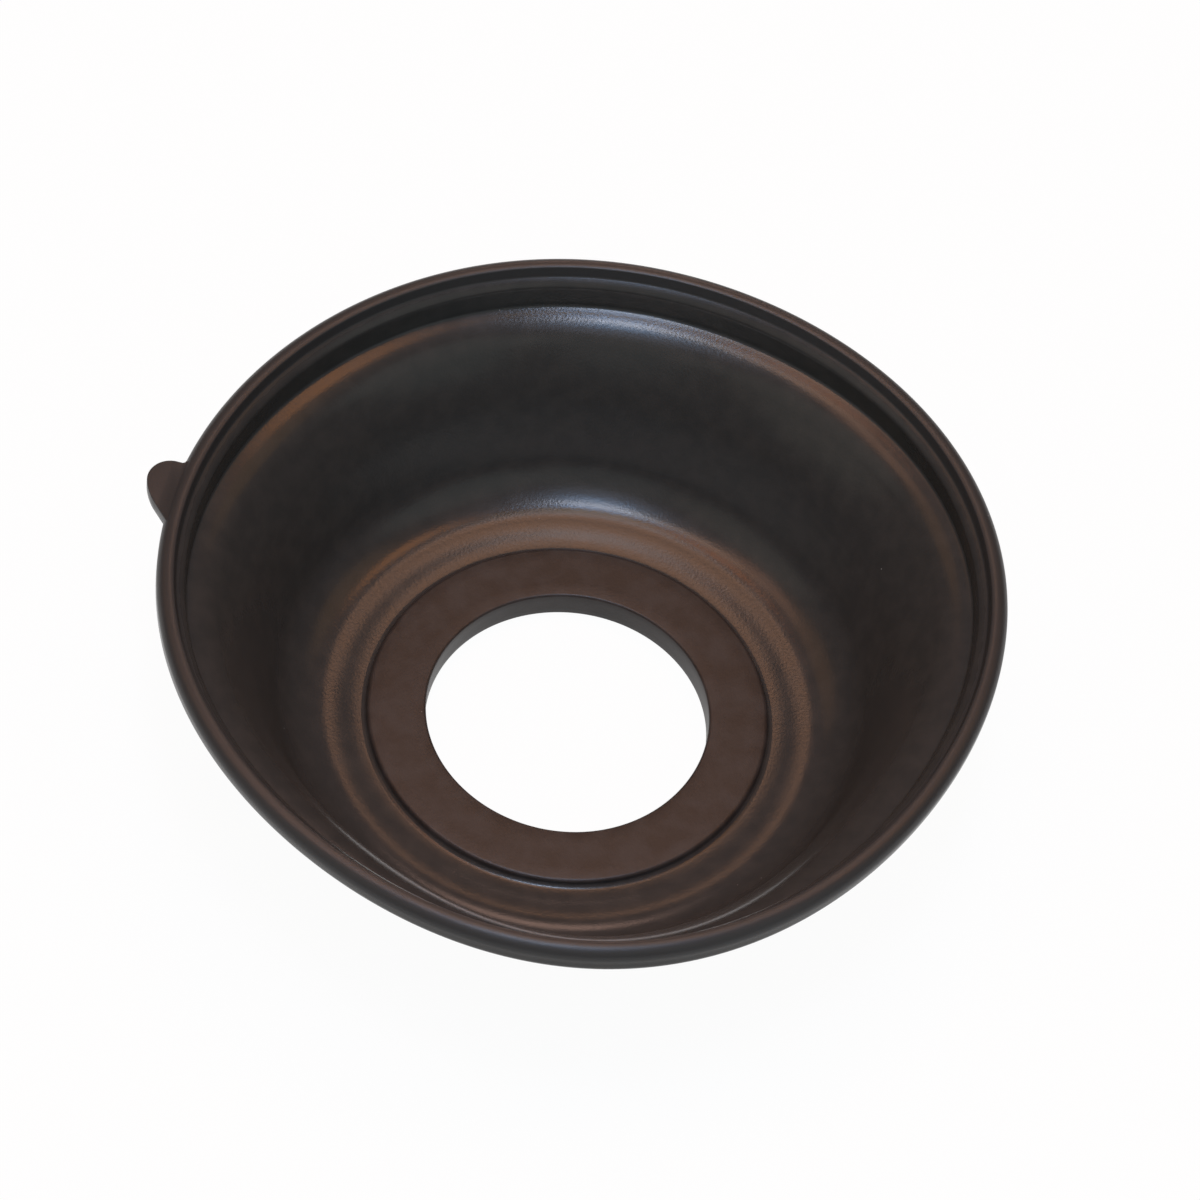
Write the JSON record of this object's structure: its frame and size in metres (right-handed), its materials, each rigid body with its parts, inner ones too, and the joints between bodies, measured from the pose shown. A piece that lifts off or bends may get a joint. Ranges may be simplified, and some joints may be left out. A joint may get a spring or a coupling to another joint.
{
  "type": "carburettor diaphragm",
  "caption": "Round moulded rubber bowl with a beaded rim on a short neck, a locating lug and a thick flat hub ring round a central hole.",
  "frame": {"origin": "on the bowl's axis, at the flat underside of the hub ring", "axes": "+Z along the axis, from the hub ring up to the open rim; the locating lug on the rim points midway between -X and +Y"},
  "size_m": [0.076, 0.076, 0.0227],
  "materials": {
    "rubber": "moulded black rubber with a dull sheen"
  },
  "bodies": {
    "root": {"diaphragm": "rubber"}
  },
  "joints": []
}
